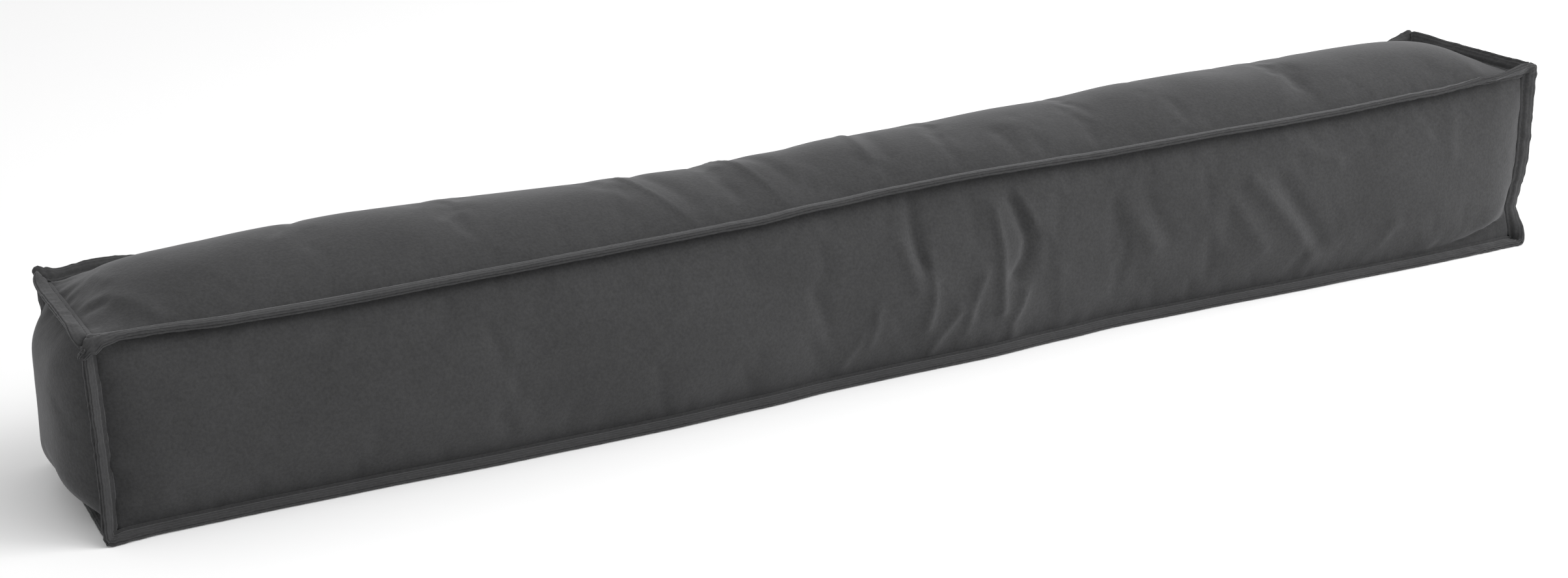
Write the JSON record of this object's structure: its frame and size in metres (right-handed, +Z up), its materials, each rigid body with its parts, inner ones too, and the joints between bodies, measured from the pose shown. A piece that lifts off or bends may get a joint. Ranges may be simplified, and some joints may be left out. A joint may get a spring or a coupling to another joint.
{
  "type": "draught excluder",
  "caption": "Long boxed velvet cushion with a topstitched flange on every edge, laid along the foot of a door or window to stop draughts.",
  "frame": {"origin": "centre of the overall box, at the height of the floor", "axes": "+X along the cushion, towards its right end as seen from the front; -Y out of its front panel; +Z up"},
  "size_m": [0.918, 0.1394, 0.1239],
  "materials": {
    "panel_velvet": "short dark grey velvet pile",
    "flange_velvet": "short dark grey velvet pile, pressed and topstitched"
  },
  "bodies": {
    "root": {"cushion": "panel_velvet", "front_flange": "flange_velvet", "back_flange": "flange_velvet", "left_top_flange": "flange_velvet", "left_bottom_flange": "flange_velvet", "right_top_flange": "flange_velvet", "right_bottom_flange": "flange_velvet"}
  },
  "joints": []
}
